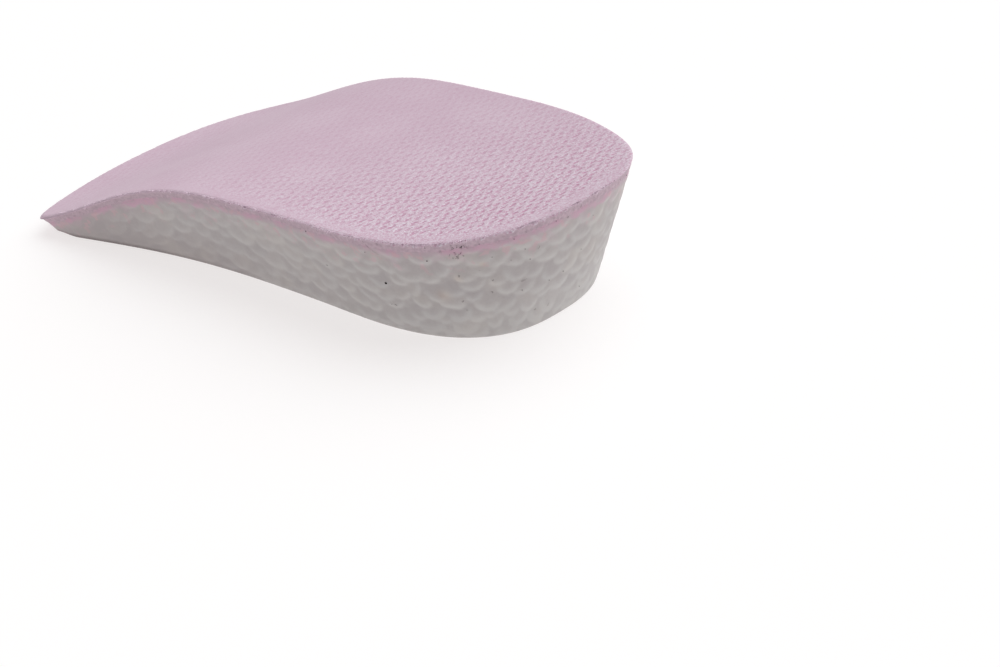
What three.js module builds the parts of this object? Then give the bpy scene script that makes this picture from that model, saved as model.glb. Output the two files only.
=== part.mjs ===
import * as THREE from 'three';

// Heel lift: a bead-foam wedge with a fabric cover bonded to its top.
// Millimetres. +Y points to the toe, +X to the wearer's right and +Z up.
// The flat underside lies on z = 0, and the origin is under the middle of the part.

// Plan outline of the top
const LENGTH = 128;
const HEEL_HALF_WIDTH = 31.6;
const TOE_HALF_WIDTH = 33.85;
const WAIST = 0.42; // how much narrower each side is halfway along
const SWEEP = -3.95; // how far the two ends swing towards the inner side of the foot
const TOE_SKEW = 1.6; // how much further forward the outer side of the toe reaches
const SKEW_POWER = 6; // more keeps the skew nearer to the toe

// Rounding of the outline's corners: how far each one reaches along the part, and its power.
// A power of 2 is an ellipse, and more is squarer.
const INNER_HEEL = { reach: 41, power: 2.32 };
const OUTER_HEEL = { reach: 47.5, power: 2.47 };
const INNER_TOE = { reach: 9, power: 1.78 };
const OUTER_TOE = { reach: 15.3, power: 2.54 };

// Side profile of the top, measured at its rim. Shares run from 0 at the heel to 1 at the toe.
const SEAT_HEIGHT = 22.9;
const SEAT_FALL = 6.05; // how far the seat would fall over the whole length
const TOE_HEIGHT = 3.13;
const RAMP_START = 0.474;
const RAMP_END = 0.993;
const RAMP_EASE = 1.52; // more than 1 starts the ramp more gently than it ends
const HEEL_LIP = 2.1; // extra rise at the very back
const LIP_REACH = 0.19;

// Shallow dish that the heel of the foot sits in
const DISH_DEPTH = 1.2;
const DISH_SHARES = { begin: 0, full: 0.3, fade: 0.45, end: 0.8 };

// Walls and layers
const DRAFT = 0.335; // inward lean of the walls, per millimetre below the rim
const TOE_DRAFT = 1.2; // the same at the thin end of the toe
const TOE_DRAFT_START = 0.87; // share of the length where the lean starts to grow
const COVER_THICKNESS = 1.9;
const BOND_GAP = 0.3;
const EDGE_RADIUS = 0.5; // rounded lower edge of the foam
const EDGE_SHARE = 0.4; // most of a thin wall that this rounding may take
const CORNER_SPREAD = 4.5; // distance over which the walls turn at a tight corner

// How finely the surfaces are divided
const SIDE_STEPS = 48; // from heel to toe along each side
const TOP_RINGS = 7;
const WALL_RINGS = 4;
const EDGE_RINGS = 3;
const UNDERSIDE_RINGS = 3;

const { smoothstep, lerp, clamp } = THREE.MathUtils;

// How much of its width a rounded end has at a distance from its tip
function endWidth(distance, { reach, power }) {
  const gap = Math.max(0, 1 - distance / reach);
  return (1 - gap ** power) ** (1 / power);
}

// The same for both ends together; side is 1 on the right, the outer side, and -1 on the left
function endRounding(share, side) {
  const heel = side > 0 ? OUTER_HEEL : INNER_HEEL;
  const toe = side > 0 ? OUTER_TOE : INNER_TOE;
  return endWidth(share * LENGTH, heel) * endWidth((1 - share) * LENGTH, toe);
}

function halfWidth(share) {
  return lerp(HEEL_HALF_WIDTH, TOE_HALF_WIDTH, share) - WAIST * 4 * share * (1 - share);
}

function centreLine(share) {
  return SWEEP * (2 * share - 1) ** 2;
}

// How far the skew moves a point forward; across is its distance to the right of the centre line
function skewAt(share, across) {
  return (TOE_SKEW * share ** SKEW_POWER * across) / TOE_HALF_WIDTH;
}

// One point of the top's outline
function outlinePoint(share, side) {
  const across = side * halfWidth(share) * endRounding(share, side);
  return new THREE.Vector2(centreLine(share) + across, LENGTH * share + skewAt(share, across));
}

// The whole outline, anticlockwise from the back of the heel, with close steps at both ends
function makeOutline() {
  const points = [];
  for (let step = 0; step < 2 * SIDE_STEPS; step += 1) {
    const turn = (Math.PI * step) / SIDE_STEPS;
    const share = (1 - Math.cos(turn)) / 2;
    points.push(outlinePoint(share, step < SIDE_STEPS ? 1 : -1));
  }
  return points;
}

const outline = makeOutline();
const middle = new THREE.Box2().setFromPoints(outline).getCenter(new THREE.Vector2());

// Vectors that point square into the outline at each of its points, as long as its steps there
const squareInward = outline.map((point, index) => {
  const before = outline.at(index - 1);
  const after = outline[(index + 1) % outline.length];
  return new THREE.Vector2(before.y - after.y, after.x - before.x);
});

// Unit vectors that point inwards and turn so gently that an inset outline doesn't cross itself
const inward = outline.map((point) => {
  const spread = new THREE.Vector2();
  squareInward.forEach((vector, index) => {
    const distance = point.distanceTo(outline[index]);
    spread.addScaledVector(vector, Math.exp(-((distance / CORNER_SPREAD) ** 2)));
  });
  return spread.normalize();
});

// Share of the length at which a point lies, with the skew taken out
function shareAt(point) {
  const straight = clamp(point.y / LENGTH, 0, 1);
  const skew = skewAt(straight, point.x - centreLine(straight));
  return clamp((point.y - skew) / LENGTH, 0, 1);
}

// Inward lean of the wall below each point of the outline
const drafts = outline.map((point) =>
  lerp(DRAFT, TOE_DRAFT, smoothstep(shareAt(point), TOE_DRAFT_START, 1)),
);

function rimHeight(share) {
  const seat = SEAT_HEIGHT - SEAT_FALL * share;
  const lip = HEEL_LIP * Math.max(0, 1 - share / LIP_REACH) ** 2;
  const run = clamp((share - RAMP_START) / (RAMP_END - RAMP_START), 0, 1) ** RAMP_EASE;
  return lerp(seat, TOE_HEIGHT, smoothstep(run, 0, 1)) + lip;
}

function topHeight(point) {
  const share = shareAt(point);
  const { begin, full, fade, end } = DISH_SHARES;
  const across = (point.x - centreLine(share)) / halfWidth(share);
  const along = smoothstep(share, begin, full) * (1 - smoothstep(share, fade, end));
  return rimHeight(share) - DISH_DEPTH * along * Math.max(0, 1 - across ** 2);
}

// The outline moved inwards, by a distance that is worked out for each of its points
function insetOutline(distance) {
  return outline.map((point, index) => point.clone().addScaledVector(inward[index], distance(index)));
}

function shrunk(ring, scale) {
  return ring.map((point) => point.clone().sub(middle).multiplyScalar(scale).add(middle));
}

function placed(point, height) {
  return new THREE.Vector3(point.x - middle.x, point.y - middle.y, height);
}

// Rings of the surface that lies a depth below the top, from the rim to the middle
function surfaceRings(depth) {
  const rim = insetOutline((index) => drafts[index] * depth);
  const rings = [];
  for (let ring = 0; ring <= TOP_RINGS; ring += 1) {
    const points = shrunk(rim, 1 - ring / (TOP_RINGS + 1));
    rings.push(points.map((point) => placed(point, topHeight(point) - depth)));
  }
  return rings;
}

function surfaceMiddle(depth) {
  return placed(middle, topHeight(middle) - depth);
}

// A closed skin over rings of equal length, with a point at each end
function closedSkin(firstPoint, rings, lastPoint) {
  const count = rings[0].length;
  const points = [firstPoint, ...rings.flat(), lastPoint];
  const last = points.length - 1;
  const at = (ring, step) => 1 + ring * count + (step % count);
  const faces = [];
  for (let step = 0; step < count; step += 1) {
    faces.push(0, at(0, step + 1), at(0, step));
    for (let ring = 1; ring < rings.length; ring += 1) {
      faces.push(at(ring - 1, step), at(ring - 1, step + 1), at(ring, step + 1));
      faces.push(at(ring - 1, step), at(ring, step + 1), at(ring, step));
    }
    faces.push(at(rings.length - 1, step), at(rings.length - 1, step + 1), last);
  }
  const geometry = new THREE.BufferGeometry().setFromPoints(points);
  geometry.setIndex(faces);
  geometry.computeVertexNormals();
  return geometry;
}

// The wedge: flat underside, rounded lower edge, drafted wall and a top that the cover lies on
function makeFoamWedge() {
  const depth = COVER_THICKNESS + BOND_GAP;
  const rims = outline.map((point) => topHeight(point));
  const radii = rims.map((rim) => Math.min(EDGE_RADIUS, EDGE_SHARE * (rim - depth)));
  const topRings = surfaceRings(depth);
  const rings = [];
  for (let ring = 0; ring <= EDGE_RINGS; ring += 1) {
    const turn = (Math.PI / 2) * (ring / EDGE_RINGS);
    const height = (index) => radii[index] * (1 - Math.cos(turn));
    const tuck = (index) => radii[index] * (1 - Math.sin(turn));
    const inset = (index) => drafts[index] * (rims[index] - height(index)) + tuck(index);
    const points = insetOutline(inset);
    rings.push(points.map((point, index) => placed(point, height(index))));
  }
  const lowerEdge = rings[0];
  const wallFoot = rings[EDGE_RINGS];
  for (let ring = 1; ring < WALL_RINGS; ring += 1) {
    rings.push(wallFoot.map((point, index) => point.clone().lerp(topRings[0][index], ring / WALL_RINGS)));
  }
  for (let ring = 1; ring < UNDERSIDE_RINGS; ring += 1) {
    rings.unshift(lowerEdge.map((point) => point.clone().multiplyScalar(1 - ring / UNDERSIDE_RINGS)));
  }
  return closedSkin(placed(middle, 0), [...rings, ...topRings], surfaceMiddle(depth));
}

// The cover: an even layer of fabric whose cut edge follows the wall
function makeTopCover() {
  const under = surfaceRings(COVER_THICKNESS).reverse();
  const over = surfaceRings(0);
  return closedSkin(surfaceMiddle(COVER_THICKNESS), [...under, ...over], surfaceMiddle(0));
}

function makePiece(name, geometry, color, roughness) {
  const material = new THREE.MeshStandardMaterial({ color, roughness, metalness: 0 });
  const mesh = new THREE.Mesh(geometry, material);
  mesh.name = name;
  return mesh;
}

const heelLift = new THREE.Group();
heelLift.add(makePiece('foam_wedge', makeFoamWedge(), 0xe6e5e1, 0.6));
heelLift.add(makePiece('top_cover', makeTopCover(), 0xd3b9c9, 0.95));

export default heelLift;
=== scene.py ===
import math

import bpy
import numpy as np
from mathutils import Matrix, Vector, kdtree
from mathutils.bvhtree import BVHTree
from mathutils.geometry import delaunay_2d_cdt


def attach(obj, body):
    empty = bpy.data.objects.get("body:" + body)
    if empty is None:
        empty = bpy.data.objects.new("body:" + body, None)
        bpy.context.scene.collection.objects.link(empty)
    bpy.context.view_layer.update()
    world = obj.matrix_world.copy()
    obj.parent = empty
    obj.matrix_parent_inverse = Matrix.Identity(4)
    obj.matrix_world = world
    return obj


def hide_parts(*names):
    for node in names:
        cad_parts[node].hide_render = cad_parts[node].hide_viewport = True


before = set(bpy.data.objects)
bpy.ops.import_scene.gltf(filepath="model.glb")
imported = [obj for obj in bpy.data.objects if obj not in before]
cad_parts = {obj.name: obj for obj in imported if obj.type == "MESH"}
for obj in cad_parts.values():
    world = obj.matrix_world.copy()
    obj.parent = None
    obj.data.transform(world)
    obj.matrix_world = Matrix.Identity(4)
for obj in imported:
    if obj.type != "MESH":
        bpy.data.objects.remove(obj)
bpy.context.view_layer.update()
mm = 0.001
scene = bpy.context.scene
print("frame loaded:", ", ".join(sorted(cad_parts)))

# the lift's own sizes in millimetres; shares run from 0 at the heel to 1 at the toe
lift = {
    "length": 128.0,
    "heelHalf": 31.6,
    "toeHalf": 33.85,
    "waist": 0.42,
    "sweep": -3.95,
    "toeSkew": 1.6,
    "skewPower": 6,
    "innerHeel": (41.0, 2.32),  # reach and power of each rounded corner of the outline
    "outerHeel": (47.5, 2.47),
    "innerToe": (9.0, 1.78),
    "outerToe": (15.3, 2.54),
    "seatHeight": 22.9,
    "seatFall": 6.05,
    "toeHeight": 3.13,
    "rampStart": 0.474,
    "rampEnd": 0.993,
    "rampEase": 1.52,
    "heelLip": 2.1,
    "lipReach": 0.19,
    "dishDepth": 1.2,
    "dishFull": 0.3,
    "dishFade": 0.45,
    "dishEnd": 0.8,
    "draft": 0.335,  # inward lean of the walls per millimetre below the rim
    "toeDraft": 1.2,
    "toeDraftStart": 0.87,
    "coverThickness": 1.9,
    "edgeRadius": 0.5,
    "edgeShare": 0.4,
    "cornerSpread": 4.5,  # distance over which the walls turn at a tight corner
    "fineSteps": 40000,  # steps of the outline that the others are measured along
}
seed = 7  # another number gives other beads, fibres and lint


def smoothStep(value, low, high):
    share = np.clip((value - low) / (high - low), 0, 1)
    return share * share * (3 - 2 * share)


# how much of its width a rounded end has at a distance from its tip
def endWidth(distance, reach, power):
    gap = np.maximum(0, 1 - distance / reach)
    return (1 - gap**power) ** (1 / power)


def endRounding(share, side):
    heel = [np.where(side > 0, *pair) for pair in zip(lift["outerHeel"], lift["innerHeel"])]
    toe = [np.where(side > 0, *pair) for pair in zip(lift["outerToe"], lift["innerToe"])]
    return endWidth(share * lift["length"], *heel) * endWidth((1 - share) * lift["length"], *toe)


def halfWidth(share):
    straight = lift["heelHalf"] + (lift["toeHalf"] - lift["heelHalf"]) * share
    return straight - lift["waist"] * 4 * share * (1 - share)


def centreLine(share):
    return lift["sweep"] * (2 * share - 1) ** 2


def skewAt(share, across):
    return lift["toeSkew"] * share ** lift["skewPower"] * across / lift["toeHalf"]


def rimHeight(share):
    seat = lift["seatHeight"] - lift["seatFall"] * share
    run = np.clip((share - lift["rampStart"]) / (lift["rampEnd"] - lift["rampStart"]), 0, 1)
    ramp = smoothStep(run ** lift["rampEase"], 0, 1)
    lip = lift["heelLip"] * np.maximum(0, 1 - share / lift["lipReach"]) ** 2
    return seat + (lift["toeHeight"] - seat) * ramp + lip


def outlineAt(turn):
    share = (1 - np.cos(turn)) / 2
    side = np.where(turn < math.pi, 1.0, -1.0)
    across = side * halfWidth(share) * endRounding(share, side)
    return np.column_stack([centreLine(share) + across, lift["length"] * share + skewAt(share, across)])


fineOutline = outlineAt(np.linspace(0, 2 * math.pi, lift["fineSteps"] + 1))
middle = (fineOutline.min(0) + fineOutline.max(0)) / 2


# share of the length at which points lie, with the skew taken out
def shareAt(points):
    x, y = (points + middle).T
    straight = np.clip(y / lift["length"], 0, 1)
    return np.clip((y - skewAt(straight, x - centreLine(straight))) / lift["length"], 0, 1)


def topHeight(points):
    share = shareAt(points)
    across = (points[:, 0] + middle[0] - centreLine(share)) / halfWidth(share)
    along = smoothStep(share, 0, lift["dishFull"])
    along = along * (1 - smoothStep(share, lift["dishFade"], lift["dishEnd"]))
    return rimHeight(share) - lift["dishDepth"] * along * np.maximum(0, 1 - across**2)


def draftAt(points):
    grown = smoothStep(shareAt(points), lift["toeDraftStart"], 1)
    return lift["draft"] + (lift["toeDraft"] - lift["draft"]) * grown


# unit vectors that point into a closed ring of points
def inwardOf(ring):
    along = np.roll(ring, -1, 0) - np.roll(ring, 1, 0)
    along /= np.linalg.norm(along, axis=1)[:, None]
    return np.column_stack([-along[:, 1], along[:, 0]])


# the same, turning so gently that the ring can move inwards without crossing itself
def spreadInward(ring):
    apart = np.linalg.norm(ring[:, None] - ring[None], axis=2)
    spread = np.exp(-((apart / lift["cornerSpread"]) ** 2)) @ inwardOf(ring)
    return spread / np.linalg.norm(spread, axis=1)[:, None]


# evenly spaced points of the top's outline, round the origin, and their distances along it
def evenOutline(count):
    steps = np.linalg.norm(np.diff(fineOutline, axis=0), axis=1)
    run = np.concatenate([[0], np.cumsum(steps)])
    wanted = np.arange(count) * run[-1] / count
    points = [np.interp(wanted, run, fineOutline[:, axis]) for axis in range(2)]
    return np.column_stack(points) - middle, wanted


def rotated(points, turn):
    return points @ np.array([[math.cos(turn), math.sin(turn)], [-math.sin(turn), math.cos(turn)]])


# coordinates along and across a direction; for numbers and for shader wires
def alongAcross(x, y, turn):
    return x * math.cos(turn) + y * math.sin(turn), y * math.cos(turn) - x * math.sin(turn)


# distance from the nearest whole step; for numbers and for shader wires
def fromNearest(value, step):
    return (value + step / 2) % step - step / 2


# a grid's row direction, its step along a row, the gap between rows and the shift from row to row
def evenGrid(spacing):
    return {"turn": 0.0, "step": spacing, "rowGap": spacing * math.sqrt(0.75), "shift": spacing / 2}


# triangles over a closed rim, with the points of a slanted grid inside it
def fillRim(rim, margin, grid):
    flat = rotated(rim, -grid["turn"])
    fence = flat + margin * inwardOf(flat)
    after = np.roll(fence, -1, 0)
    step = grid["step"]
    rows = []
    lowest = math.ceil(fence[:, 1].min() / grid["rowGap"])
    highest = math.floor(fence[:, 1].max() / grid["rowGap"])
    for number in range(lowest, highest + 1):
        y = number * grid["rowGap"]
        crossing = (fence[:, 1] > y) != (after[:, 1] > y)
        start, end = fence[crossing], after[crossing]
        ends = start[:, 0] + (y - start[:, 1]) / (end[:, 1] - start[:, 1]) * (end[:, 0] - start[:, 0])
        offset = number * grid["shift"] % step
        first, last = (ends.min() - offset) / step, (ends.max() - offset) / step
        x = np.arange(math.ceil(first), last) * step + offset
        rows.append(np.column_stack([x, np.full(len(x), y)]))
    points = np.concatenate([rim, rotated(np.concatenate(rows), grid["turn"])])
    loop = [(i, (i + 1) % len(rim)) for i in range(len(rim))]
    corners = [Vector(point) for point in points]
    onlyInside, merging = 1, 1e-6  # which triangles are kept, and how near two corners are one
    _, _, faces, sources, _, _ = delaunay_2d_cdt(corners, loop, [], onlyInside, merging)
    source = [origin[0] for origin in sources]
    return points, [tuple(source[i] for i in face) for face in faces]


# quads between two equally long closed rows of points
def rowQuads(upper, lower, count):
    quads = []
    for i in range(count):
        j = (i + 1) % count
        quads.append((upper + i, lower + i, lower + j, upper + j))
    return quads


def makePiece(name, points, faces, *materials):
    mesh = bpy.data.meshes.new(name)
    mesh.from_pydata((np.asarray(points) * mm).tolist(), [], faces)
    mesh.shade_smooth()
    for material in materials:
        mesh.materials.append(material)
    piece = bpy.data.objects.new(name, mesh)
    scene.collection.objects.link(piece)
    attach(piece, "root")
    print(name + ":", len(faces), "faces")
    return piece


# keeps the shading on both sides of closed rows of points apart
def creaseRows(piece, count, *firsts):
    ends = np.empty(2 * len(piece.data.edges), np.int32)
    piece.data.edges.foreach_get("vertices", ends)
    ends = ends.reshape(-1, 2)
    sharp = np.zeros(len(ends), bool)
    for first in firsts:
        sharp |= ((ends >= first) & (ends < first + count)).all(1)
    piece.data.edges.foreach_set("use_edge_sharp", sharp)


# values for the points of a mesh, in parts that follow the points' order
def paintPoints(piece, name, *parts):
    layer = piece.data.attributes.new(name, "FLOAT", "POINT")
    layer.data.foreach_set("value", np.concatenate(parts).astype(np.float32))


# a socket with operators: an expression on it adds the Math nodes
class Wire:
    def __init__(self, finish, socket):
        self.finish = finish
        self.socket = socket

    def math(self, operation, *others):
        return self.finish.node("ShaderNodeMath", {"operation": operation}, [self, *others])

    def __add__(self, other):
        return self.math("ADD", other)

    def __sub__(self, other):
        return self.math("SUBTRACT", other)

    def __rsub__(self, other):
        return self.finish.node("ShaderNodeMath", {"operation": "SUBTRACT"}, [other, self])

    def __mul__(self, other):
        return self.math("MULTIPLY", other)

    def __truediv__(self, other):
        return self.math("DIVIDE", other)

    def __rtruediv__(self, other):
        return self.finish.node("ShaderNodeMath", {"operation": "DIVIDE"}, [other, self])

    def __pow__(self, other):
        return self.math("POWER", other)

    def __mod__(self, other):
        return self.math("FLOORED_MODULO", other)

    __radd__ = __add__
    __rmul__ = __mul__

    def wave(self, length):
        return (self * (2 * math.pi / length)).math("SINE")

    def step(self, low, high):
        sockets = {"Value": self, "From Min": low, "From Max": high}
        return self.finish.node("ShaderNodeMapRange", {"interpolation_type": "SMOOTHSTEP"}, sockets)


# one material: a Principled shader and whatever nodes feed it
class Finish:
    def __init__(self, name):
        self.material = bpy.data.materials.new(name)
        self.material.use_nodes = True
        self.tree = self.material.node_tree
        self.shader = self.tree.nodes["Principled BSDF"]

    def put(self, target, value):
        if isinstance(value, Wire):
            self.tree.links.new(value.socket, target)
        elif isinstance(value, tuple) and len(value) == 3 and target.type == "RGBA":
            target.default_value = (*value, 1)
        else:
            target.default_value = value

    # settings are set first, because some of them change which sockets there are
    def node(self, kind, settings, sockets, out=0):
        made = self.tree.nodes.new(kind)
        for key, value in settings.items():
            setattr(made, key, value)
        places = sockets.items() if isinstance(sockets, dict) else enumerate(sockets)
        for place, value in places:
            self.put(made.inputs[place], value)
        return Wire(self, made.outputs[out])

    def mix(self, share, first, second):
        settings = {"data_type": "RGBA", "blend_type": "MIX"}
        return self.node("ShaderNodeMix", settings, {0: share, 6: first, 7: second}, 2)

    # a colour laid over another where a mask is 1
    def laidOver(self, base, mask, colour, strength):
        return self.mix(mask * strength, base, colour)

    def painted(self, name):
        return self.node("ShaderNodeAttribute", {"attribute_name": name}, {}, "Fac")

    # position on the object in millimetres: a vector for textures, and its three numbers
    def places(self):
        place = self.node("ShaderNodeTexCoord", {}, {}, "Object")
        scaled = self.node("ShaderNodeVectorMath", {"operation": "SCALE"}, {0: place, "Scale": 1 / mm})
        apart = self.node("ShaderNodeSeparateXYZ", {}, [scaled])
        numbers = [Wire(self, output) for output in apart.socket.node.outputs]
        return scaled, numbers

    def noise(self, place, scale, detail=2.0):
        sockets = {"Vector": place, "Scale": scale, "Detail": detail}
        return self.node("ShaderNodeTexNoise", {}, sockets, "Fac")

    def bump(self, height, strength, distance):
        sockets = {"Height": height, "Strength": strength, "Distance": distance}
        return self.node("ShaderNodeBump", {}, sockets, "Normal")

    def set(self, **values):
        for name, value in values.items():
            self.put(self.shader.inputs[name.replace("_", " ")], value)
        return self.material


# the knit's repeat: rows of short slanted slots, each row shifted against the one before
knit = {
    "rowTurn": math.radians(-1.05),  # direction of the rows, from +X
    "rowGap": 1.15,
    "rowShift": -1.345,
    "slotStep": 3.53,
    "slotTilt": math.radians(4),  # of each slot against its row
    "slotLong": 1.18,  # half lengths of one slot
    "slotWide": 0.38,
    "slotDeep": 0.15,
    "slotWall": (0.2, 1.0),  # radii between which a slot's wall rises
    "slotEdge": (0.4, 1.2),  # radii between which its colour ends
    "slotStray": 2.0,  # how far the grain moves that edge
    "shoulder": (1.0, 1.5),  # radii of the paler knit round a slot
    "gridSteps": 8,  # mesh points from slot to slot
    "gridRows": 5,
    "fadeTurn": math.radians(64),  # the slots die away in this direction, from +X
    "fadeStart": -54.0,
    "fadeEnd": 10.0,
    "fadeLeft": 0.2,
    "flat": (1.6, 5.8),  # distances from an edge between which the slots come up
    "flatLeast": 0.2,  # how much of them is missing at an edge that isn't worn
    "wornReach": (1.0, 4.0),  # distances from a worn edge over which the pale specks come back
    "wornDull": 0.4,  # how much weaker they are at that edge
    "weaveTurn": math.radians(-44.5),
    "weaveLong": 0.95,
    "weaveWide": 0.62,
    "grainScale": 1.9,  # noise scales, per millimetre
    "speckScale": 4.0,
    "patchScale": 0.07,
    "patchRange": (0.3, 0.7),
    "weaveRise": 0.25,
    "loopParts": (0.3, 0.3, 0.4),  # weave, grain and specks in the loops' height
    "slotBump": 0.5,  # depth of a slot's fine relief against the loops'
    "speckHighlightLoops": (0.49, 0.58),  # heights over which raised loops turn pale, pale specks with a painted highlight, and below which low loops take painted shade
    "shadedLoops": (0.4, 0.5),
    "thread": (0.634, 0.470, 0.567),
    "paleThread": (0.725, 0.59, 0.675),
    "specks": (0.79, 0.73, 0.80),
    "slotAndShadeColour": (0.49, 0.195, 0.33),
    "rimShadeReach": 0.9,  # how far in from a worn edge the knit takes painted shade, where it rolls over
    "rimShadeColour": (0.50, 0.375, 0.44),
    "patchShare": 0.3,  # strengths of the colours laid over the thread
    "shoulderShare": 0.2,
    "loopShadeShare": 0.55,
    "slotShare": 0.54,
    "rimShadeShare": 0.35,
}


# distance from the nearest slot's middle, 1 at its rim; for numbers and for shader wires
def slotRadius(x, y, root):
    along, across = alongAcross(x, y, knit["rowTurn"])
    inRow = fromNearest(across, knit["rowGap"])
    row = (across - inRow) / knit["rowGap"]
    inStep = fromNearest(along - row * knit["rowShift"], knit["slotStep"])
    long, wide = alongAcross(inStep, inRow, knit["slotTilt"])
    long = long / knit["slotLong"]
    wide = wide / knit["slotWide"]
    return root(long * long + wide * wide)


def knitFinish():
    finish = Finish("pink_knit")
    place, (x, y, _) = finish.places()
    depth, nap, worn, rim = [finish.painted(name) for name in ("slotDepth", "nap", "worn", "rim")]
    grain = finish.noise(place, knit["grainScale"])
    speck = finish.noise(place, knit["speckScale"])
    radius = slotRadius(x, y, lambda value: value**0.5)
    slot = (1 - (radius + (grain - 0.5) * knit["slotStray"]).step(*knit["slotEdge"])) * depth
    shoulder = radius.step(*knit["shoulder"]) * depth
    along, across = alongAcross(x, y, knit["weaveTurn"])
    weave = along.wave(knit["weaveLong"]) * across.wave(knit["weaveWide"])
    weavePart, grainPart, speckPart = knit["loopParts"]
    loops = (0.5 + weave * knit["weaveRise"]) * weavePart + grain * grainPart + speck * speckPart
    patch = finish.noise(place, knit["patchScale"]).step(*knit["patchRange"])
    # raised loops: pale specks with a painted highlight; low loops: painted shade in the slots' colour
    pale = loops.step(*knit["speckHighlightLoops"]) * nap * (1 - worn * knit["wornDull"])
    dark = (1 - loops.step(*knit["shadedLoops"])) * nap
    colour = finish.laidOver(knit["thread"], patch, knit["paleThread"], knit["patchShare"])
    colour = finish.laidOver(colour, shoulder, knit["paleThread"], knit["shoulderShare"])
    colour = finish.mix(pale, colour, knit["specks"])
    colour = finish.laidOver(colour, dark, knit["slotAndShadeColour"], knit["loopShadeShare"])
    colour = finish.laidOver(colour, slot, knit["slotAndShadeColour"], knit["slotShare"])
    # painted shade where the knit rolls over its worn edge
    colour = finish.laidOver(colour, rim, knit["rimShadeColour"], knit["rimShadeShare"])
    relief = finish.bump(loops * nap - slot * knit["slotBump"], strength=0.5, distance=0.2 * mm)
    return finish.set(
        Base_Color=colour, Roughness=0.92, Normal=relief,
        Sheen_Weight=0.1, Sheen_Roughness=0.5, Specular_IOR_Level=0.15,
    )


# the fabric cover: its mesh, its worn and frayed edge, and the colours of its cut side
cover = {
    "rimPoints": 1500,
    "margin": 0.2,
    "edgeRows": 7,
    "edgeRough": 0.05,
    "lipHang": 0.12,  # how far the knit hangs over the cut edge, and its lean in shares of the draft
    "lipLean": 0.7,
    "rimWave": 0.24,  # how much further its frayed loops stand out and hang down
    "rimSag": 0.2,
    "rimLoop": 0.7,  # length of one loop, and the most that it grows to
    "loopMost": 1.5,
    "rimFollows": 0.5,  # how far the knit's rim moves out with its loops
    "roundOff": (0.2, 0.55),  # how far the knit drops at its very edge, and at the toe's inner side
    "roundReach": (0.4, 1.8),
    "rollFrom": (0.55, 0.85),  # shares of the length over which the edge turns into the toe's
    "toeBrow": 0.45,  # depth at which the cut edge's colours start at the toe
    "toeRimShade": 2.0,  # how strong the painted shade on the hanging lip is there
    "wornWay": (0.71, 0.7),  # into the lift from between its inner side and its heel
    "wornFrom": (0.0, 0.6),  # how squarely the edge faces that way, from fresh to worn
    "frayWay": (0.9, 0.45),  # into the lift from nearer to its inner side
    "frayFrom": (0.1, 0.7),
    "frayThins": (0.5, 0.72),  # shares of the length over which the fray thins out, and ends
    "frayThinsBy": 0.75,
    "frayEnds": (0.84, 0.93),
    "underSpacing": 6.0,
    "blotchNoise": (0.2, 3.0),  # scale per millimetre, and detail
    "threadNoise": (1.6, 3.0),
    "padding": ((0.50, 0.38, 0.44), (0.60, 0.46, 0.525)),
    "paddingRange": (0.3, 0.7),
    "glue": (0.64, 0.37, 0.495),
    "glueFrom": (0.6, 1.05),  # depths in shares of the thickness, and how far the threads move them
    "glueStray": 0.5,
    "gluePatches": (0.47, 0.62),
    "glueShare": 0.7,
    "browLight": (0.67, 0.53, 0.61),
    "browLightReach": (0.0, 0.4),
    "browLightStray": 0.6,
    "browLightShare": 0.3,
}


# the cut side of the cover: grey-mauve padding, with painted light just under the knit against the shade
# of its lip, and pink glue at the foot
def cutEdgeFinish():
    finish = Finish("cut_edge")
    place, _ = finish.places()
    depth = finish.painted("edgeDepth")
    blotch = finish.noise(place, *cover["blotchNoise"])
    thread = finish.noise(place, *cover["threadNoise"])
    core = finish.mix(thread.step(*cover["paddingRange"]), *cover["padding"])
    foot = (depth + (thread - 0.5) * cover["glueStray"]).step(*cover["glueFrom"])
    foot = foot * blotch.step(*cover["gluePatches"])
    glued = finish.laidOver(core, foot, cover["glue"], cover["glueShare"])
    # painted light at the top of the cut edge, against the shade under the knit's lip
    browLight = 1 - (depth + (thread - 0.5) * cover["browLightStray"]).step(*cover["browLightReach"])
    colour = finish.laidOver(glued, browLight, cover["browLight"], cover["browLightShare"])
    relief = finish.bump(thread, strength=0.4, distance=0.2 * mm)
    return finish.set(
        Base_Color=colour, Roughness=0.95, Normal=relief, Specular_IOR_Level=0.1, Sheen_Weight=0.1,
    )


# distances to a rim, and which of its points are the nearest
def nearestRim(points, rim):
    tree = kdtree.KDTree(len(rim))
    for index, point in enumerate(rim):
        tree.insert((*point, 0), index)
    tree.balance()
    found = [tree.find((*point, 0)) for point in points.tolist()]
    return np.array([hit[2] for hit in found]), np.array([hit[1] for hit in found])


# how far the slots and the fine weave stand out at points of the top
def knitRelief(points, gap, worn):
    away, _ = alongAcross(*points.T, knit["fadeTurn"])
    fade = 1 - (1 - knit["fadeLeft"]) * smoothStep(away, knit["fadeStart"], knit["fadeEnd"])
    missing = knit["flatLeast"] + (1 - knit["flatLeast"]) * worn
    return fade * (1 - missing * (1 - smoothStep(gap, *knit["flat"]))), fade


# how worn the knit is along its edge: round the heel and along the inner side
def wornAt(inward):
    return smoothStep(inward @ np.array(cover["wornWay"]), *cover["wornFrom"])


# how frayed its edge is: the same but for the outer side of the heel,
# less towards the toe and not at all at its tip
def frayAt(points, inward):
    share = shareAt(points)
    thinner = 1 - cover["frayThinsBy"] * smoothStep(share, *cover["frayThins"])
    fewer = thinner * (1 - smoothStep(share, *cover["frayEnds"]))
    return smoothStep(inward @ np.array(cover["frayWay"]), *cover["frayFrom"]) * fewer


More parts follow.
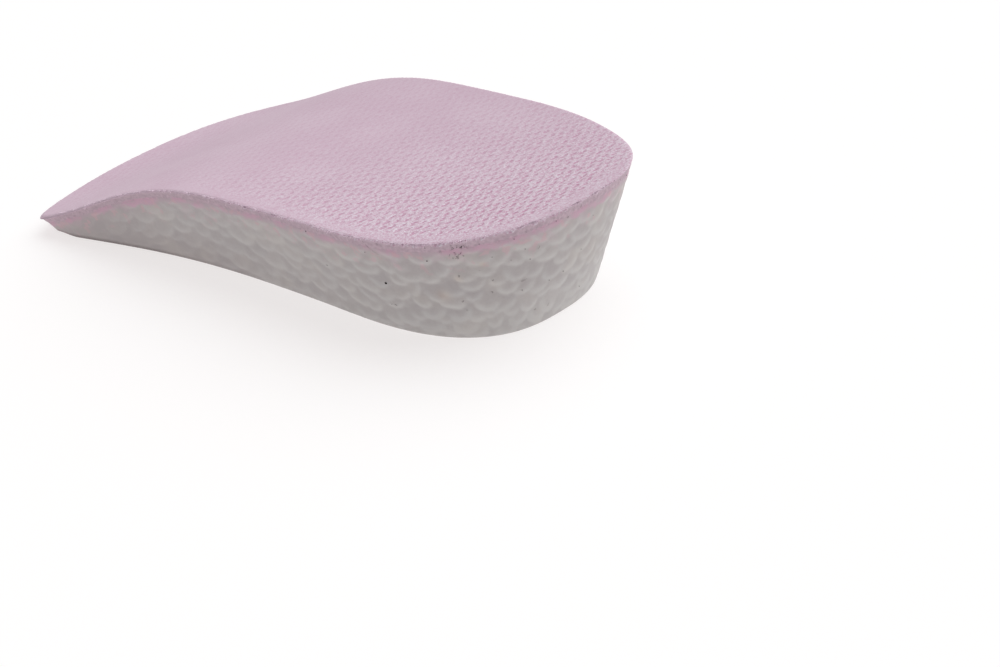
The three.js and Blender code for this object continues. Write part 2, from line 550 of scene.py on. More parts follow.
# smooth random bumps along a closed row of points, about as long as asked
def bumpsAlong(rng, count, steps):
    wave = rng.normal(0, 1, count)
    reach = 3 * steps  # far enough for the whole bell
    bell = np.exp(-((np.arange(-reach, reach + 1) / (0.5 * steps)) ** 2))
    smooth = np.convolve(np.concatenate([wave[-reach:], wave, wave[:reach]]), bell, "valid")
    return smooth / smooth.std()


def makeCover(rng):
    rim, run = evenOutline(cover["rimPoints"])
    inward = spreadInward(rim)
    frayed = frayAt(rim, inward)
    draft = draftAt(rim)
    count = len(rim)
    grid = {
        "turn": knit["rowTurn"],
        "step": knit["slotStep"] / knit["gridSteps"],
        "rowGap": knit["rowGap"] / knit["gridRows"],
        "shift": knit["rowShift"] / knit["gridRows"],
    }
    top, topFaces = fillRim(rim, cover["margin"], grid)
    gap, nearest = nearestRim(top, rim)
    used = wornAt(inward)
    depth, nap = knitRelief(top, gap, used[nearest])
    worn = used[nearest] * (1 - smoothStep(gap, *knit["wornReach"]))
    rimShade = used[nearest] * (1 - smoothStep(gap, 0, knit["rimShadeReach"]))
    rolled = used * smoothStep(shareAt(rim), *cover["rollFrom"])
    ranges = (cover["roundOff"], cover["roundReach"])
    roundOff, roundReach = [plain + (most - plain) * rolled for plain, most in ranges]
    slots = 1 - smoothStep(slotRadius(*top.T, np.sqrt), *knit["slotWall"])
    lip = np.maximum(0, 1 - gap / roundReach[nearest])
    drop = roundOff[nearest] * (1 - np.sqrt(1 - lip**2))
    height = topHeight(top) - slots * depth * knit["slotDeep"] - drop
    loops = np.clip(bumpsAlong(rng, count, round(cover["rimLoop"] / run[1])), 0, cover["loopMost"])
    stand = cover["rimWave"] * frayed * loops
    hang = cover["lipHang"] + cover["rimSag"] * frayed * loops
    start = roundOff + hang  # depth of the cut edge's first row
    top[:count] -= inward * (cover["rimFollows"] * stand)[:, None]
    lipRing = rim + inward * (cover["lipLean"] * draft * start - stand)[:, None]
    layers = [np.column_stack([top, height]), np.column_stack([lipRing, height[:count] - hang])]
    edgeDepth = [np.zeros(len(top) + count)]
    for row in range(cover["edgeRows"]):
        part = row / (cover["edgeRows"] - 1)
        below = start + (lift["coverThickness"] - start) * part
        ragged = rng.normal(0, cover["edgeRough"], count) * (0 < part < 1)
        ring = rim + inward * (draft * below + ragged)[:, None]
        layers.append(np.column_stack([ring, topHeight(ring) - below]))
        edgeDepth.append(np.maximum(part, cover["toeBrow"] * rolled))
    spacing = cover["underSpacing"]
    under, underFaces = fillRim(layers[-1][:, :2], spacing / 2, evenGrid(spacing))
    inner = under[count:]
    layers.append(np.column_stack([inner, topHeight(inner) - lift["coverThickness"]]))
    edgeDepth.append(np.ones(len(inner)))
    faces = list(topFaces)
    previous = 0
    for row in range(cover["edgeRows"] + 1):
        current = len(top) + row * count
        faces.extend(rowQuads(previous, current, count))
        previous = current
    underStart = len(faces)
    for face in underFaces:
        faces.append(tuple(previous + i for i in reversed(face)))
    piece = makePiece("knit_cover", np.concatenate(layers), faces, knitFinish(), cutEdgeFinish())
    finishes = np.zeros(len(faces), np.int32)
    finishes[len(topFaces) + count:underStart] = 1
    piece.data.polygons.foreach_set("material_index", finishes)
    rest = np.zeros(len(piece.data.vertices) - len(top))
    paintPoints(piece, "slotDepth", depth, rest)
    paintPoints(piece, "nap", nap, nap[:count], rest[count:])
    paintPoints(piece, "worn", worn, rest)
    # painted shade along the worn edge where the knit rolls over, stronger on the lip at the toe
    paintPoints(piece, "rim", rimShade, cover["toeRimShade"] * rolled, rest[count:])
    paintPoints(piece, "edgeDepth", *edgeDepth)
    creaseRows(piece, count, 0, len(top), len(top) + count, previous)
    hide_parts("top_cover")
    return piece


# fused foam beads: scales that overlap downwards on the walls, pressed flat on the underside
beads = {
    "columns": 1100,
    "wallRows": 60,
    "edgeRows": 5,
    "seatGap": 0.01,  # between the foam and the cover
    "wide": 2.75,  # half sizes of a bead that shows in the wall
    "tall": 2.3,
    "square": 2.1,  # 2 is an ellipse
    "gapWide": 3.5,  # least distances between the beads' middles
    "gapTall": 2.45,
    "sizes": (0.8, 1.25),
    "turn": math.radians(20),
    "drift": 0.2,  # how far their outlines stray
    "driftWaves": 7,
    "driftLengths": (7.0, 15.0),
    "reach": 1.8,  # how far a bead changes the wall, in half widths
    "rimSoft": 0.3,
    "crown": 0.08,
    "lean": 0.12,  # how far a bead's lower end stands out over its neighbour
    "sunk": -0.05,
    "bare": (0.5, 0.3),  # tone and glow between the beads
    "inkEdge": (0.9, 1.04),  # radii between which a bead's own tone and glow end
    "shade": (0.95, 1.5),  # radii of the shade under its rim, and how far down it starts
    "shadeFrom": (-0.1, 0.5),
    "shadeDeep": 0.6,
    "glowLeast": 0.15,
    "glowRing": (0.15, 0.85),  # radii between which it starts to glow, and how far down
    "glowFrom": (-0.5, 0.6),
    "halfway": (0.1, 0.5),  # shares of the length over which the wall turns from the heel's to the toe's
    "toeward": (0.6, 0.95),
    "calm": (0.14, 0.28, 0.38),  # how much weaker the rims show everywhere, then halfway, then at the toe
    "soft": (1, 3),  # blurring passes at the heel and towards the toe
    "footFrom": 0.45,  # share of the way down the wall at which its foot starts
    "footGlow": 0.5,  # painted light: how much lighter the heel is at its foot, from the floor below
    "footShade": 0.6,  # painted shade: how much darker the front half is there
    "footShadeFrom": (0.45, 0.65),
    "toeShade": 0.7,  # painted shade: how much darker the wall is at the toe
    "lineReach": (-0.2, 0.9),  # distances from the lower edge over which its painted contact shadow fades
    "lineFrom": (0.45, 0.8),
    "topFade": 0.7,
    "footFade": 1.6,
    "softness": 14.0,
    "underGap": 4.4,
    "underSize": 3.0,
    "underCrown": 0.9,
    "underFlat": 4.5,
    "underRound": 2.2,
    "underRounder": (0.55, 0.9),  # shares of the length over which the beads get rounder
    "underLevel": 0.28,
    "underTilt": 0.05,
    "underDeep": 0.9,
    "underSpacing": 0.62,
    "underMargin": 0.6,  # in spacings
    "underFade": 1.6,
    "underPaint": {"tone": 0.7, "glow": 0.5, "drop": 30.0, "line": 0.0, "under": 1.0},
    "gapShows": (0.2, 0.7),  # depths between which a gap takes its colour
    "pinkFrom": (0.5, 0.85),  # shares of the length over which the gaps turn pink
    "topSpacing": 5.0,
    "shaded": ((0.43, 0.392, 0.396), (0.465, 0.425, 0.422)),  # darkest and palest tones
    "lit": ((0.555, 0.535, 0.53), (0.59, 0.568, 0.557)),
    "pressed": ((0.66, 0.645, 0.625), (0.72, 0.705, 0.685)),
    "noises": {  # scale per millimetre, and detail
        "blotch": (0.35, 3.0),
        "warm": (0.16, 2.0),
        "grain": (1.6, 4.0),
        "wide": (0.2, 3.0),
        "streak": (0.5, 3.0),
    },
    "grainShare": 0.5,  # how much the grain changes the glow
    "warmFrom": (0.5, 0.75),
    "blushReach": (0.3, 6.0),  # distances below the cover
    "blushPatches": (0.5, 0.68),
    "blushLeast": 0.15,  # between its patches, and how much more inside them
    "blushMore": 0.6,
    "ragged": (3.0, 1.6),  # how far the blotches and the grain move the padding's lower edge
    "paddingEnd": (0.2, 1.6),
    "glueStart": (-1.2, 0.2),
    "glueEnd": (0.4, 1.9),
    "gluePatches": (0.44, 0.62),
    "fleckFrom": (0.56, 0.66),
    "fleckReach": (1.5, 8.0),
    # colours laid over them, and how strongly
    "warm": ((0.60, 0.555, 0.515), 0.3),
    "line": ((0.22, 0.185, 0.185), 0.9),
    "gap": ((0.50, 0.47, 0.40), 0.6),
    "blush": ((0.60, 0.41, 0.49), 0.5),
    "padding": ((0.52, 0.40, 0.455), 0.85),
    "glue": ((0.64, 0.37, 0.495), 0.65),
    "fleck": ((0.64, 0.41, 0.455), 0.5),
    "pinkGap": ((0.50, 0.25, 0.36), 0.85),
    "stain": (0.66, 0.48, 0.36),
}


# random middles that keep their distance; the first axis may run round and meet itself
def scatter(rng, width, height, gapWide, gapTall, wraps, tries=26):
    wanted = int(tries * width * height / (gapWide * gapTall))
    middles = np.empty((0, 2))
    for x, y in rng.random((wanted, 2)) * (width, height):
        dx = np.abs(middles[:, 0] - x)
        if wraps:
            dx = np.minimum(dx, width - dx)
        if not np.any((dx / gapWide) ** 2 + ((middles[:, 1] - y) / gapTall) ** 2 < 1):
            middles = np.vstack([middles, (x, y)])
    return middles


# a smooth random field that meets itself round the wall
def driftField(rng, run, girth, drop):
    total = np.zeros(drop.shape)
    for _ in range(beads["driftWaves"]):
        turns = round(girth / rng.uniform(*beads["driftLengths"]))
        slant = rng.choice([-1, 1]) / rng.uniform(*beads["driftLengths"])
        total += np.sin(2 * math.pi * (turns * run / girth + slant * drop + rng.random()))
    return total / math.sqrt(beads["driftWaves"] / 2)


# relief, tone and painted light of the wall's beads, laid from the lowest to the highest;
# the painted glow grows towards a bead's lower rim, with painted shade on the one that it overlaps
def wallField(rng, run, girth, drop):
    margin = beads["tall"]
    middles = scatter(rng, girth, drop.max() + 2 * margin, beads["gapWide"], beads["gapTall"], True)
    middles[:, 1] -= margin
    strayX = beads["drift"] * driftField(rng, run, girth, drop)
    strayY = beads["drift"] * driftField(rng, run, girth, drop)
    rise = np.full(drop.shape, beads["sunk"])
    tone, glow = [np.full(drop.shape, bare) for bare in beads["bare"]]
    for x, y in middles[np.argsort(-middles[:, 1])]:
        size = rng.uniform(*beads["sizes"])
        turn = rng.normal(0, beads["turn"])
        colour = rng.random()
        dx = fromNearest(run - x, girth)
        near = np.nonzero(np.abs(dx) < beads["reach"] * beads["wide"])[0]
        dx = dx[near][None, :] + strayX[:, near]
        dy = drop[:, near] - y + strayY[:, near]
        a, b = alongAcross(dx, dy, turn)
        a = a / (beads["wide"] * size)
        b = b / (beads["tall"] * size)
        radius = (np.abs(a) ** beads["square"] + np.abs(b) ** beads["square"]) ** (1 / beads["square"])
        over = 1 - smoothStep(radius, 1 - beads["rimSoft"], 1)
        ink = 1 - smoothStep(radius, *beads["inkEdge"])
        shade = (1 - smoothStep(radius, *beads["shade"])) * smoothStep(b, *beads["shadeFrom"])
        height = beads["crown"] * (1 - radius**2) + beads["lean"] * b
        light = smoothStep(radius, *beads["glowRing"]) * smoothStep(b, *beads["glowFrom"])
        light = beads["glowLeast"] + (1 - beads["glowLeast"]) * light
        rise[:, near] += over * (height - rise[:, near])
        tone[:, near] += ink * (colour - tone[:, near])
        glow[:, near] *= 1 - beads["shadeDeep"] * shade
        glow[:, near] += ink * (light - glow[:, near])
    return rise, tone, glow


# a field of the wall, blurred round it and down it
def softened(field, passes):
    for _ in range(passes):
        field = (np.roll(field, 1, 1) + 2 * field + np.roll(field, -1, 1)) / 4
        padded = np.pad(field, ((1, 1), (0, 0)), "edge")
        field = (padded[:-2] + 2 * field + padded[2:]) / 4
    return field


# depth of the gaps between the underside's beads, which are rounder towards the toe
def underField(rng, points):
    corner = points.min(0) - beads["underSize"]
    width, height = points.max(0) + beads["underSize"] - corner
    middles = scatter(rng, width, height, beads["underGap"], beads["underGap"], False) + corner
    roundness = smoothStep(shareAt(middles), *beads["underRounder"])
    lowest = -3.0  # keeps far beads from counting
    total = np.full(len(points), 1e-30)  # not quite 0, so that it has a logarithm
    for (x, y), rounder in zip(middles, roundness):
        size = beads["underSize"] * rng.uniform(*beads["sizes"])
        tilt = rng.normal(0, beads["underTilt"], 2)
        power = beads["underFlat"] + (beads["underRound"] - beads["underFlat"]) * rounder
        dx, dy = (points - (x, y)).T
        rise = beads["underCrown"] * (1 - (np.hypot(dx, dy) / size) ** power)
        rise = rise + tilt[0] * dx + tilt[1] * dy
        total += np.exp(beads["softness"] * np.maximum(rise, lowest))
    field = np.log(total) / beads["softness"]
    return np.clip(beads["underCrown"] - beads["underLevel"] - field, 0, beads["underDeep"])


def foamFinish():
    finish = Finish("bead_foam")
    place, _ = finish.places()
    names = ("tone", "glow", "drop", "under", "gap", "toeGap", "stain", "line")
    tone, glow, drop, under, gap, toeGap, stain, line = [finish.painted(name) for name in names]
    noises = [finish.noise(place, *noise) for noise in beads["noises"].values()]
    blotch, warm, grain, wide, streak = noises
    # painted light and shade: the glow mixes a shaded and a lit copy of the foam's tones
    shaded = finish.mix(tone, *beads["shaded"])
    lit = finish.mix(tone, *beads["lit"])
    colour = finish.mix(glow + (grain - 0.5) * beads["grainShare"], shaded, lit)
    colour = finish.laidOver(colour, warm.step(*beads["warmFrom"]), *beads["warm"])
    # painted contact shadow at the wall's foot
    colour = finish.laidOver(colour, line, *beads["line"])
    colour = finish.mix(under, colour, finish.mix(tone, *beads["pressed"]))
    colour = finish.laidOver(colour, gap, *beads["gap"])
    # pink near the cover: a blush, then the ragged lower edge of its padding, glue and flecks
    blush = beads["blushLeast"] + beads["blushMore"] * blotch.step(*beads["blushPatches"])
    blush = (1 - drop.step(*beads["blushReach"])) * blush
    edge = drop + (blotch - 0.5) * beads["ragged"][0] + (grain - 0.5) * beads["ragged"][1]
    padding = 1 - edge.step(*beads["paddingEnd"])
    glue = (1 - edge.step(*beads["glueEnd"])) * edge.step(*beads["glueStart"])
    glue = glue * wide.step(*beads["gluePatches"])
    flecks = streak.step(*beads["fleckFrom"]) * (1 - drop.step(*beads["fleckReach"]))
    pinks = {"blush": blush, "padding": padding, "glue": glue, "fleck": flecks, "pinkGap": toeGap}
    for name, mask in pinks.items():
        colour = finish.laidOver(colour, mask, *beads[name])
    colour = finish.mix(stain, colour, beads["stain"])
    relief = finish.bump(grain, strength=0.1, distance=0.15 * mm)
    return finish.set(
        Base_Color=colour, Roughness=0.55, Normal=relief, Specular_IOR_Level=0.25,
        Subsurface_Weight=0.2, Subsurface_Radius=(1.0, 0.92, 0.88), Subsurface_Scale=0.8 * mm,
    )


def makeFoam(rng):
    outline, run = evenOutline(beads["columns"])
    inward = spreadInward(outline)
    draft = draftAt(outline)
    count = len(outline)
    rims = topHeight(outline)
    depth = lift["coverThickness"] + beads["seatGap"]
    radius = np.minimum(lift["edgeRadius"], lift["edgeShare"] * (rims - depth))
    outward = np.column_stack([-inward, -draft])
    outward /= np.linalg.norm(outward, axis=1)[:, None]
    down = np.array([0.0, 0.0, -1.0])
    upperRim = outline + inward * (draft * depth)[:, None]
    head = np.column_stack([upperRim, topHeight(upperRim) - depth])
    foot = np.column_stack([outline + inward * (draft * (rims - radius))[:, None], radius])
    slope = np.linalg.norm(foot - head, axis=1)
    places, normals, drops = [], [], []
    for part in np.linspace(0, 1, beads["wallRows"]):
        places.append(head + (foot - head) * part)
        normals.append(outward)
        drops.append(slope * part)
    for row in range(1, beads["edgeRows"] + 1):
        turn = math.pi / 2 * row / beads["edgeRows"]
        height = radius * (1 - math.sin(turn))
        inset = draft * (rims - height) + radius * (1 - math.cos(turn))
        places.append(np.column_stack([outline + inward * inset[:, None], height]))
        normals.append(outward * math.cos(turn) + down * math.sin(turn))
        drops.append(slope + radius * turn)
    drop = np.array(drops)
    rise, tone, glow = wallField(rng, run, run[-1] + run[1], drop)
    share = shareAt(outline)
    halfway = smoothStep(share, *beads["halfway"])
    toeward = smoothStep(share, *beads["toeward"])
    calm = beads["calm"][0] + beads["calm"][1] * halfway + beads["calm"][2] * toeward
    crisp, blurred = [softened(glow, passes) for passes in beads["soft"]]
    glow = 0.5 + (crisp + (blurred - crisp) * halfway - 0.5) * (1 - calm)
    # painted light at the heel's foot, painted shade at the front half's foot and at the toe
    low = smoothStep(drop / slope, beads["footFrom"], 1)
    footShaded = beads["footShade"] * smoothStep(share, *beads["footShadeFrom"])
    glow += low * (beads["footGlow"] * (1 - halfway) - footShaded)
    glow -= beads["toeShade"] * toeward
    # painted contact shadow along the foot, towards the toe
    line = (1 - smoothStep(slope - drop, *beads["lineReach"])) * smoothStep(share, *beads["lineFrom"])
    rise = softened(rise, 1) * (1 - calm)
    hold = smoothStep(drop, 0, beads["topFade"]) * smoothStep(slope - drop, 0, beads["footFade"])
    wall = np.array(places) + np.array(normals) * (rise * hold)[:, :, None]
    rows = len(wall)
    lowerRim = wall[-1][:, :2]
    spacing = beads["underSpacing"]
    under, underFaces = fillRim(lowerRim, spacing * beads["underMargin"], evenGrid(spacing))
    inner = under[count:]
    inside, _ = nearestRim(inner, lowerRim)
    pressed = underField(rng, inner) * smoothStep(inside, 0, beads["underFade"])
    upper, upperFaces = fillRim(upperRim, beads["topSpacing"] / 2, evenGrid(beads["topSpacing"]))
    hidden = upper[count:]
    points = np.concatenate([
        wall.reshape(-1, 3),
        np.column_stack([inner, pressed]),
        np.column_stack([hidden, topHeight(hidden) - depth]),
    ])
    faces = []
    for row in range(rows - 1):
        faces.extend(rowQuads(row * count, (row + 1) * count, count))
    bottomStart = (rows - 1) * count
    for face in underFaces:
        faces.append(tuple(bottomStart + i for i in reversed(face)))
    hiddenStart = rows * count + len(inner) - count
    for face in upperFaces:
        faces.append(tuple(i if i < count else hiddenStart + i for i in face))
    piece = makePiece("bead_wedge", points, faces, foamFinish())
    rest = len(points) - rows * count
    gap = smoothStep(pressed, *beads["gapShows"])
    toeGap = gap * smoothStep(shareAt(inner), *beads["pinkFrom"])
    plain = np.zeros(rows * count)
    unseen = np.zeros(len(hidden))
    turnedUnder = np.zeros((rows, count))
    turnedUnder[-1] = 1
    fields = {"tone": tone, "glow": glow, "drop": drop, "line": line, "under": turnedUnder}
    for name, field in fields.items():
        paintPoints(piece, name, field.ravel(), np.full(rest, beads["underPaint"][name]))
    paintPoints(piece, "gap", plain, gap, unseen)
    paintPoints(piece, "toeGap", plain, toeGap, unseen)
    creaseRows(piece, count, 0)
    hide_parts("foam_wedge")
    return piece


# thin bent tubes, gathered into one mesh
class Strands:
    def __init__(self, sides):
        self.sides = sides
        self.points = []
        self.faces = []
        self.shades = []

    # flat is one axis of the strand's section
    def add(self, path, thick, thin, flat, shade):
        first = len(self.points)
        along = np.gradient(path, axis=0)
        for step, centre in enumerate(path):
            side = np.cross(along[step], flat)
            side /= np.linalg.norm(side)
            radius = thick + (thin - thick) * step / (len(path) - 1)
            for corner in range(self.sides):
                turn = 2 * math.pi * corner / self.sides
                self.points.append(centre + radius * (flat * math.cos(turn) + side * math.sin(turn)))
                self.shades.append(shade)
        for step in range(len(path) - 1):
            upper = first + step * self.sides
            self.faces.extend(rowQuads(upper, upper + self.sides, self.sides))
        last = len(self.points) - self.sides
        self.faces.append(tuple(range(first, first + self.sides)))
        self.faces.append(tuple(reversed(range(last, last + self.sides))))

    def piece(self, name, material):
        made = makePiece(name, self.points, self.faces, material)
        made.data.shade_flat()
        paintPoints(made, "shade", self.shades)
        return made


# short fibres along the cover's cut edge, with small pale tufts among them
fuzz = {
    "fibres": 1000,
    "length": (0.05, 0.2),
    "tufts": 240,
    "tuftFibres": 12,
    "tuftLength": (0.35, 0.7),
    "tuftSpread": 0.16,
    "below": (-0.02, 0.06),  # depths below the rim that they grow from
    "rooted": 0.1,
    "thick": (0.03, 0.06),
    "tip": 0.4,  # thickness of a tip, in shares of the root's
    "sides": 3,
    "bends": 3,
    "sideways": 0.7,  # how far their directions and their bends stray
    "upwards": 0.25,
    "curl": 0.35,
    "pale": 0.96,  # share of pale fibres
    "colours": ((0.40, 0.29, 0.35), (0.78, 0.64, 0.73)),
    "colourRange": (0.3, 0.7),
    "spotScale": 0.9,
    "spotShare": 0.2,  # how much noise there is in a fibre's colour
}


def fuzzFinish():
    finish = Finish("fray")
    place, _ = finish.places()
    spot = finish.noise(place, fuzz["spotScale"])
    shade = finish.painted("shade")
    paleness = shade * (1 - fuzz["spotShare"]) + spot * fuzz["spotShare"]
    colour = finish.mix(paleness.step(*fuzz["colourRange"]), *fuzz["colours"])
    return finish.set(Base_Color=colour, Roughness=0.95, Specular_IOR_Level=0.1)


def addFibre(rng, strands, place, inside, draft, lengths):
    below = rng.uniform(*fuzz["below"])
    root = place + inside * (draft * below + fuzz["rooted"])
    start = np.array([*root, float(topHeight(root[None, :])[0]) - below])
    along = np.array([inside[1], -inside[0], 0])
    up = np.array([0.0, 0.0, 1.0])
    way = np.array([-inside[0], -inside[1], 0]) + along * rng.normal(0, fuzz["sideways"])
    way = way + up * rng.normal(0, fuzz["upwards"])
    way /= np.linalg.norm(way)
    curl = along * rng.normal(0, fuzz["curl"]) + up * rng.normal(0, fuzz["curl"])
    length = rng.uniform(*lengths)
    parts = np.linspace(0, 1, fuzz["bends"] + 1)[:, None]
    path = start + (length + fuzz["rooted"]) * (way * parts + curl * parts**2)
    flat = np.cross(way, along + 0.5 * up)
    flat /= np.linalg.norm(flat)
    thick = rng.uniform(*fuzz["thick"])
    strands.add(path, thick, thick * fuzz["tip"], flat, float(rng.random() < fuzz["pale"]))


def makeFuzz(rng):
    outline, _ = evenOutline(fuzz["fibres"])
    inward = inwardOf(outline)
    draft = draftAt(outline)
    frayed = frayAt(outline, inward)
    strands = Strands(fuzz["sides"])
    for index in np.nonzero(rng.random(len(outline)) < frayed)[0]:
        addFibre(rng, strands, outline[index], inward[index], draft[index], fuzz["length"])
    for index in rng.integers(0, len(outline), fuzz["tufts"]):
        inside = inward[index]
        along = np.array([inside[1], -inside[0]])
        for _ in range(round(fuzz["tuftFibres"] * frayed[index])):
            place = outline[index] + along * rng.normal(0, fuzz["tuftSpread"])
            addFibre(rng, strands, place, inside, draft[index], fuzz["tuftLength"])
    piece = strands.piece("frayed_edge", fuzzFinish())
    return piece


# specks, loose hairs and stains that the wall has picked up
lint = {
    # pixel of the photograph, kind, length in millimetres, direction in degrees
    "specks": [
        ((386, 283), "spot", 0.4, 0),
        ((626, 175), "dot", 0.20, 0),
        ((427, 261), "dot", 0.22, 0),
        ((425, 248), "dot", 0.16, 0),
        ((530, 259), "dot", 0.17, 0),
        ((525, 249), "dot", 0.16, 0),
        ((563, 271), "dot", 0.17, 0),
        ((579, 286), "dot", 0.14, 0),
        ((392, 304), "dot", 0.12, 0),
        ((306, 231), "dot", 0.2, 0),
        ((593, 215), "dot", 0.12, 0),
        ((492, 257), "dot", 0.12, 0),
        ((479, 244), "dot", 0.14, 0),
        ((514, 239), "dot", 0.16, 0),
        ((526, 232), "dot", 0.12, 0),
        ((556, 221), "dot", 0.15, 0),
        ((581, 249), "dot", 0.14, 0),
        ((511, 260), "dot", 0.12, 0),
        ((365, 252), "dot", 0.15, 0),
        ((467, 310), "dot", 0.1, 0),
        ((396, 305), "hook", 0.9, 160),
        ((455, 252), "clump", 1.3, 0),
        ((461, 247), "clump", 0.7, 0),
        ((377, 244), "hook", 0.6, 40),
        ((568, 217), "hook", 0.6, 30),
        ((581, 206), "hook", 0.8, 60),
        ((551, 211), "hook", 0.9, 80),
        ((459, 276), "hook", 0.8, 60),
        ((463, 301), "hook", 0.9, 40),
        ((492, 292), "hook", 0.8, 100),
        ((493, 280), "hook", 0.6, 20),
        ((524, 280), "hair", 1.4, 10),
        ((522, 290), "hook", 0.7, 120),
        ((539, 247), "hair", 1.0, 60),
        ((549, 280), "hook", 0.5, 70),
        ((548, 304), "hair", 0.8, 70),
        ((535, 309), "hook", 0.6, 45),
        ((327, 265), "hook", 0.9, 150),
        ((369, 247), "hair", 5.2, -46),
        ((480, 270), "hair", 0.5, 10),
    ],
    "stains": [((444, 296), 1.3), ((483, 264), 0.7), ((458, 279), 0.8)],  # pixel, radius
    "stainStrength": 0.22,
    "others": 30,  # more of them on the sides turned away
    "otherFacing": 0.1,  # how far these sides face away at least
    "otherHeights": (0.15, 0.8),  # in shares of the wall's height
    "otherDots": (0.1, 0.2),
    "otherHairs": (0.5, 1.2),
    "thick": {"hook": 0.03, "hair": 0.02, "clump": 0.025},
    "tip": 0.6,  # thickness of a tip, in shares of the other end's
    "shades": {"spot": 1.0, "dot": 0.85, "hook": 0.65, "hair": 0.25, "clump": 0.6},
    "lift": 0.05,  # height above the foam
    "bends": 6,
    "bend": {"hook": math.radians(200), "hair": math.radians(40)},
    "clumpHairs": 20,
    "clumpSpread": 0.65,  # in shares of the clump's size
    "clumpLength": 0.6,
    "sides": 5,
    "dotStations": (-0.5, -0.2, 0.2, 0.5),  # along a dot, in shares of its size
    "dotRadii": (0.2, 0.48, 0.5),
    "spotScale": 1.2,
    "faint": ((0.27, 0.225, 0.23), (0.33, 0.275, 0.28)),
    "dark": (0.03, 0.025, 0.025),
}


def lintFinish():
    finish = Finish("lint")
    place, _ = finish.places()
    spot = finish.noise(place, lint["spotScale"])
    shade = finish.painted("shade")
    faint = finish.mix(spot, *lint["faint"])
    colour = finish.mix(shade, faint, lint["dark"])
    return finish.set(Base_Color=colour, Roughness=0.8, Specular_IOR_Level=0.2)


# finds where a ray meets the foam or the cover: the place in millimetres and the facing
class Skin:
    def __init__(self, *pieces):
        self.trees = []
        for piece in pieces:
            corners = [vertex.co / mm for vertex in piece.data.vertices]
            faces = [face.vertices for face in piece.data.polygons]
            self.trees.append(BVHTree.FromPolygons(corners, faces))

    def hit(self, start, way):
        found = [tree.ray_cast(Vector(start), Vector(way)) for tree in self.trees]
        found = [hit for hit in found if hit[0] is not None]
        if not found:
            return None
        place, facing, _, _ = min(found, key=lambda hit: hit[3])
        return np.array(place), np.array(facing)


# the level direction on a wall
def levelOn(facing):
    side = np.cross((0, 0, 1), facing)
    return side / np.linalg.norm(side)


# a strand that lies on the wall, bent by a whole angle over its length
def layStrand(strands, place, facing, kind, length, direction, bend):
    side = levelOn(facing)
    slope = np.cross(facing, side)
    turns = direction + bend * (np.linspace(0, 1, lint["bends"]) - 0.5)
    moves = side * np.cos(turns)[:, None] + slope * np.sin(turns)[:, None]
    path = np.cumsum(moves, axis=0) * length / lint["bends"]
    path += place + facing * lint["lift"] - path.mean(0)
    thick = lint["thick"][kind]
    strands.add(path, thick, thick * lint["tip"], facing, lint["shades"][kind])


def addLint(rng, strands, place, facing, kind, size, direction):
    turn = math.radians(direction)
    if kind in ("dot", "spot"):
        shade = lint["shades"][kind]
        path = place + np.outer(lint["dotStations"], levelOn(facing) * size)
        path = path + facing * lint["lift"]
        end, shoulder, body = [size * radius for radius in lint["dotRadii"]]
        strands.add(path[:2], end, shoulder, facing, shade)
        strands.add(path[1:3], body, body, facing, shade)
        strands.add(path[2:], shoulder, end, facing, shade)
    elif kind in lint["bend"]:
        layStrand(strands, place, facing, kind, size, turn, lint["bend"][kind])
    else:
        for _ in range(lint["clumpHairs"]):
            shift = rng.normal(0, size * lint["clumpSpread"], 3)
            shift -= facing * (shift @ facing)
            bend = rng.normal(0, lint["bend"]["hook"])
            anyWay = rng.uniform(0, 2 * math.pi)
            layStrand(strands, place + shift, facing, kind, size * lint["clumpLength"], anyWay, bend)


def makeLint(rng, foam, coverPiece, eye, gaze):
    skin = Skin(foam, coverPiece)
    strands = Strands(lint["sides"])
    for pixel, kind, size, direction in lint["specks"]:
        found = skin.hit(eye, pixelWay(pixel, gaze))
        if found:
            addLint(rng, strands, *found, kind, size, direction)
    outline, _ = evenOutline(beads["columns"])
    inward = inwardOf(outline)
    turnedAway = np.nonzero(inward @ np.array(gaze.col[2])[:2] > lint["otherFacing"])[0]
    for index in rng.choice(turnedAway, lint["others"]):
        way = np.array([*inward[index], 0.0])
        height = rng.uniform(*lint["otherHeights"]) * float(topHeight(outline[index][None, :])[0])
        start = np.array([*outline[index], height]) - way
        kind = rng.choice(["dot", "hook", "hair"])
        size = rng.uniform(*lint["otherDots" if kind == "dot" else "otherHairs"])
        found = skin.hit(start, way)
        if found:
            addLint(rng, strands, *found, kind, size, rng.uniform(0, 360))
    piece = strands.piece("wall_lint", lintFinish())
    corners = np.array([vertex.co for vertex in foam.data.vertices]) / mm
    stain = np.zeros(len(corners))
    for pixel, radius in lint["stains"]:
        place, _ = skin.hit(eye, pixelWay(pixel, gaze))
        away = np.linalg.norm(corners - place, axis=1)
        stain = np.maximum(stain, lint["stainStrength"] * np.exp(-((away / radius) ** 2)))
    paintPoints(foam, "stain", stain)


stage = {
    "floorSize": 6.0,  # in metres
    "floorDrop": 0.02,  # below the underside, in millimetres
    "floorColour": (0.30, 0.318, 0.322),
    "floorGlow": (0.725, 0.695, 0.69),  # light that the floor itself gives off
    "world": 0.22,
    "sun": 2.75,
    "sunSoft": math.radians(80),
    "sunFrom": (1.0, -0.22, 1.5),
}


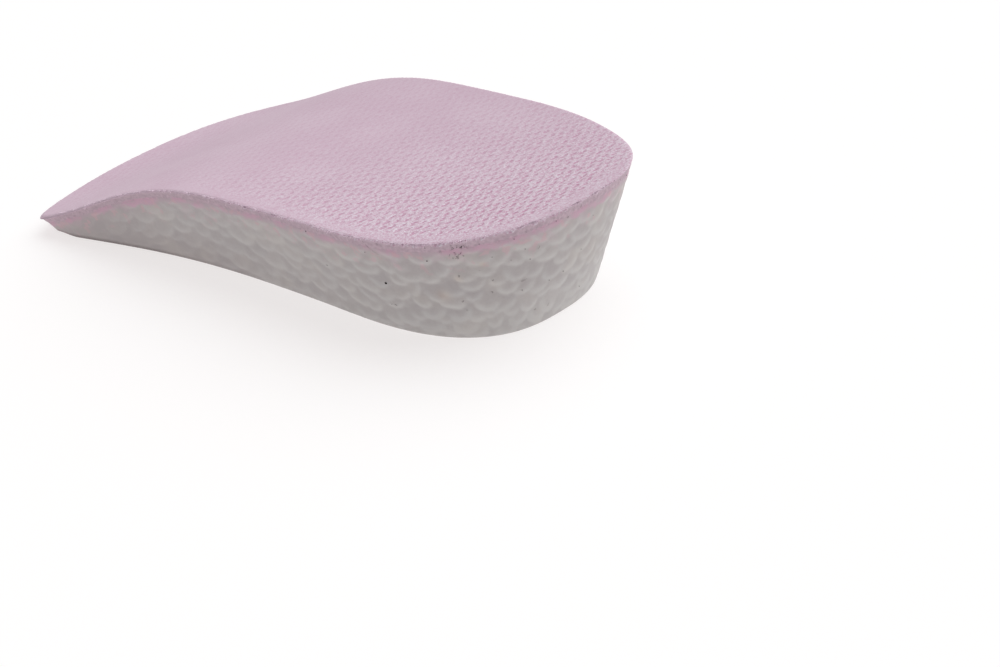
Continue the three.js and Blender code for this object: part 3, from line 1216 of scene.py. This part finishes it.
def makeStage():
    half = stage["floorSize"] / 2
    mesh = bpy.data.meshes.new("floor")
    corners = [(-half, -half, 0), (half, -half, 0), (half, half, 0), (-half, half, 0)]
    mesh.from_pydata(corners, [], [(0, 1, 2, 3)])
    finish = Finish("floor")
    mesh.materials.append(finish.set(
        Base_Color=stage["floorColour"], Roughness=0.9, Specular_IOR_Level=0.1,
        Emission_Color=stage["floorGlow"], Emission_Strength=1.0,
    ))
    floor = bpy.data.objects.new("floor", mesh)
    floor.location.z = -stage["floorDrop"] * mm
    scene.collection.objects.link(floor)
    world = bpy.data.worlds.new("studio")
    world.use_nodes = True
    background = world.node_tree.nodes["Background"].inputs
    background["Color"].default_value = (1, 1, 1, 1)
    background["Strength"].default_value = stage["world"]
    scene.world = world
    sun = bpy.data.lights.new("softbox", "SUN")
    sun.energy = stage["sun"]
    sun.angle = stage["sunSoft"]
    lamp = bpy.data.objects.new("softbox", sun)
    lamp.rotation_mode = "QUATERNION"
    lamp.rotation_quaternion = Vector(stage["sunFrom"]).to_track_quat("Z", "Y")
    scene.collection.objects.link(lamp)
    scene.view_settings.view_transform = "Standard"
    print("stage set")


# the photograph's view, from behind the heel and to its left
view = {
    "azimuth": -45.2,
    "elevation": 28.24,
    "roll": -5.49,
    "distance": 350.7,
    "aim": (-29.68, -67.54, 12.0),
    "lens": 76.41,
    "sensor": 36.0,
    "clip": 0.01,  # in metres
    "pixels": (1000, 667),
}


# the camera; gives back its place in millimetres and its axes
def makeCamera():
    azimuth = math.radians(view["azimuth"])
    elevation = math.radians(view["elevation"])
    flat = math.cos(elevation)
    back = Vector((math.sin(azimuth) * flat, -math.cos(azimuth) * flat, math.sin(elevation)))
    right = Vector((math.cos(azimuth), math.sin(azimuth), 0))
    up = back.cross(right)
    gaze = Matrix((right, up, back)).transposed() @ Matrix.Rotation(math.radians(view["roll"]), 3, "Z")
    eye = Vector(view["aim"]) + back * view["distance"]
    data = bpy.data.cameras.new("camera")
    data.lens = view["lens"]
    data.sensor_width = view["sensor"]
    data.clip_start = view["clip"]
    camera = bpy.data.objects.new("camera", data)
    camera.matrix_world = Matrix.Translation(eye * mm) @ gaze.to_4x4()
    scene.collection.objects.link(camera)
    scene.camera = camera
    print("camera set")
    return eye, gaze


# direction from the camera through a pixel of the photograph
def pixelWay(pixel, gaze):
    wide, high = view["pixels"]
    focal = view["lens"] / view["sensor"] * wide
    return (gaze @ Vector((pixel[0] - wide / 2, high / 2 - pixel[1], -focal))).normalized()


eye, gaze = makeCamera()
makeStage()
rng = np.random.default_rng(seed)
foam = makeFoam(rng)
coverPiece = makeCover(rng)
fray = makeFuzz(rng)
makeLint(rng, foam, coverPiece, eye, gaze)
